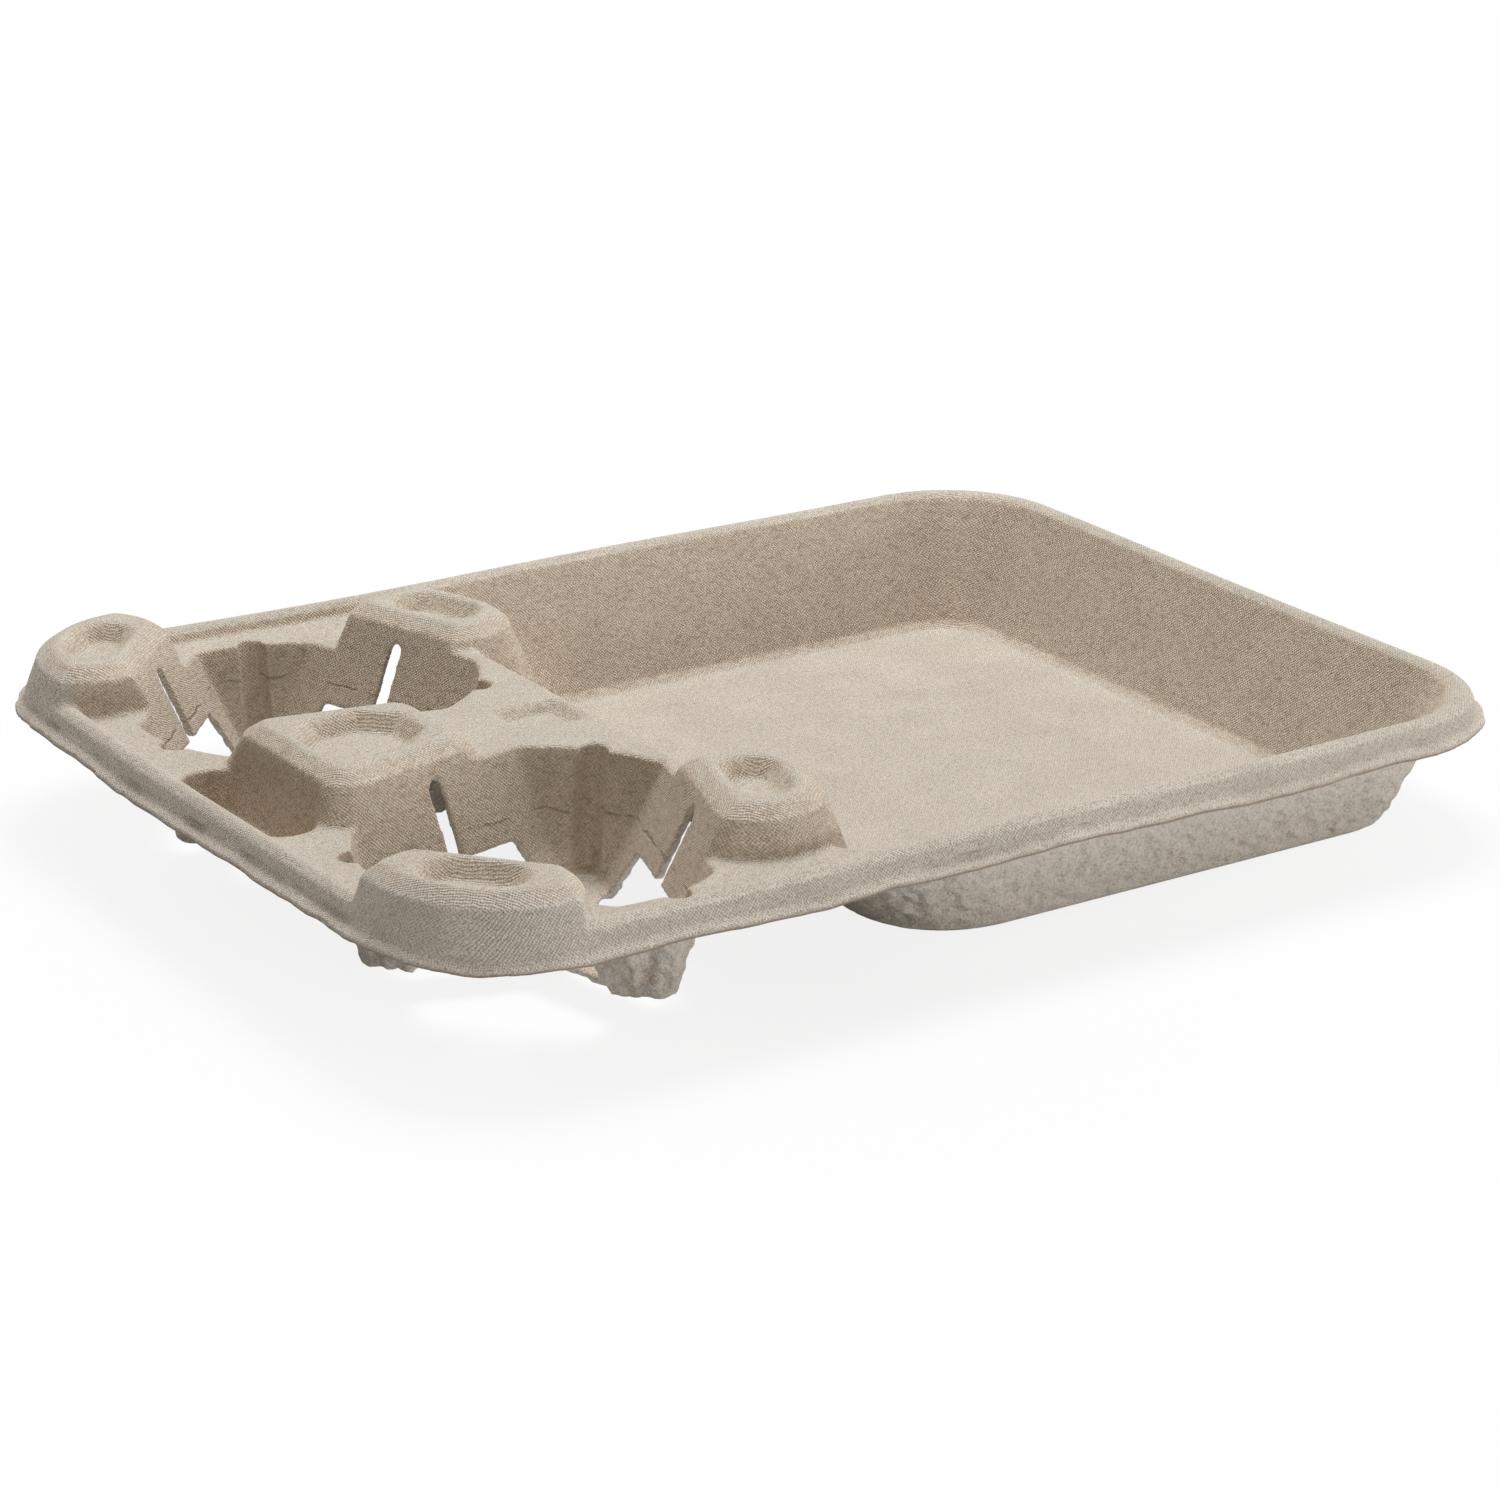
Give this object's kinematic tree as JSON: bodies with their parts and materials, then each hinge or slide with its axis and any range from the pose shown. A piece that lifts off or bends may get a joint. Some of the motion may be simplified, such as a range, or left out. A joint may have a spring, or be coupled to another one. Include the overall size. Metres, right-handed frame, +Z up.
{
  "type": "moulded fibre cup carrier tray",
  "caption": "One-piece moulded-fibre carrier tray: a meal compartment beside cup wells with slotted petals under raised, dimpled posts, inside a rolled rim.",
  "frame": {"origin": "on the surface the tray stands on, under the middle of the rim's outline", "axes": "+X along the tray to the meal end, +Y across it, +Z up"},
  "size_m": [0.36, 0.264, 0.05],
  "materials": {
    "fibre": "matte, rough moulded fibre"
  },
  "bodies": {
    "root": {"carrier_tray": "fibre"}
  },
  "joints": []
}
